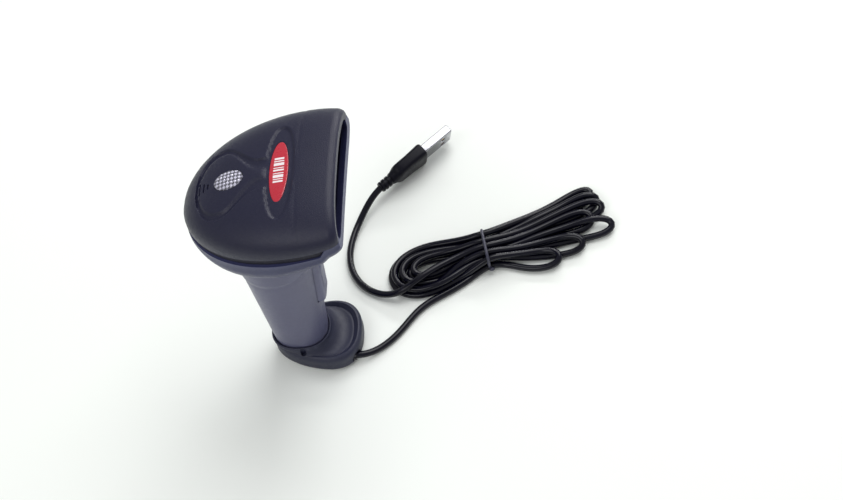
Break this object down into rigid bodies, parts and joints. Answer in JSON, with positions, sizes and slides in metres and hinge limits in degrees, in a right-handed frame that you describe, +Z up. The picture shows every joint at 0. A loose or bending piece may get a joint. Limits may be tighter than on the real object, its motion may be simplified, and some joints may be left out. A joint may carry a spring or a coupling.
{
  "type": "handheld barcode scanner",
  "caption": "Corded handheld barcode scanner: rounded head with a wide scan window, upright handle with a trigger, flared foot and a tied hank of cable.",
  "frame": {"origin": "on the surface it stands on, under the middle of the scanner without its cable", "axes": "+X the way the scan window faces, +Y the scanner's left, +Z up"},
  "size_m": [0.1877, 0.1614, 0.1507],
  "materials": {
    "cover": "fine satin grain, dark blue-grey",
    "housing": "satin, blue-grey",
    "handle": "satin, light blue-grey",
    "foot": "satin moulded boot",
    "rubber": "matt black",
    "badge": "glossy red",
    "clear": "clear, ribbed",
    "window": "dark red filter",
    "black": "black",
    "board": "green solder mask",
    "chip": "black epoxy",
    "steel": "bright",
    "white": "white nylon",
    "glass": "clear",
    "led": "red epoxy",
    "cord": "glossy black jacket"
  },
  "bodies": {
    "scanner": {"top_cover": "cover", "lower_housing": "housing", "head_seal": "rubber", "window_frame": "black", "scan_window": "window", "badge_plate": "badge", "indicator_lens": "clear", "light_pipe": "clear", "beeper": "black", "main_board": "board", "decoder_chip": "chip", "memory_chip": "chip", "board_connector": "white", "status_led": "led", "optics_chassis": "black", "lens_barrel": "black", "imaging_lens": "glass", "sensor_board": "board", "image_sensor": "chip", "lamp_board_left": "board", "lamp_board_right": "board", "aiming_lamp_left_1": "led", "aiming_lamp_left_2": "led", "aiming_lamp_right_1": "led", "aiming_lamp_right_2": "led", "handle_shell": "handle", "handle_end_plate": "black", "trigger_pin": "steel", "trigger_bracket": "black", "trigger_spring": "steel", "trigger_switch": "chip", "switch_board": "board", "cable_header": "white", "foot_shell": "foot", "foot_pad": "rubber", "cable_gland": "cord", "inner_cable": "cord", "main_harness": "rubber", "foot_screw_1": "steel", "foot_screw_2": "steel", "cover_screw_left_rear": "steel", "cover_screw_left_front": "steel", "cover_screw_right_rear": "steel", "cover_screw_right_front": "steel", "cord_hank": "cord", "cord_tie": "cord", "plug_body": "cord", "plug_shell": "steel", "plug_tongue": "white", "cord_lead": "cord", "cord_tail": "cord"},
    "trigger": {"trigger": "handle"},
    "plunger": {"switch_plunger": "white"}
  },
  "joints": [
    {"name": "trigger_hinge", "type": "hinge", "parent": "scanner", "child": "trigger", "pos_m": [0.0054, 0, 0.0805], "axis": [0, 1, 0], "range_deg": [0, 5], "stiffness_Nm_per_rad": 0.3, "springref_deg": -17.19},
    {"name": "plunger_slide", "type": "slide", "parent": "scanner", "child": "plunger", "axis": [-1, 0, 0], "range_m": [0, 0.0022]}
  ],
  "couplings": [
    {"joint": "plunger_slide", "follows": "trigger_hinge", "m_per_rad": 0.0235}
  ]
}
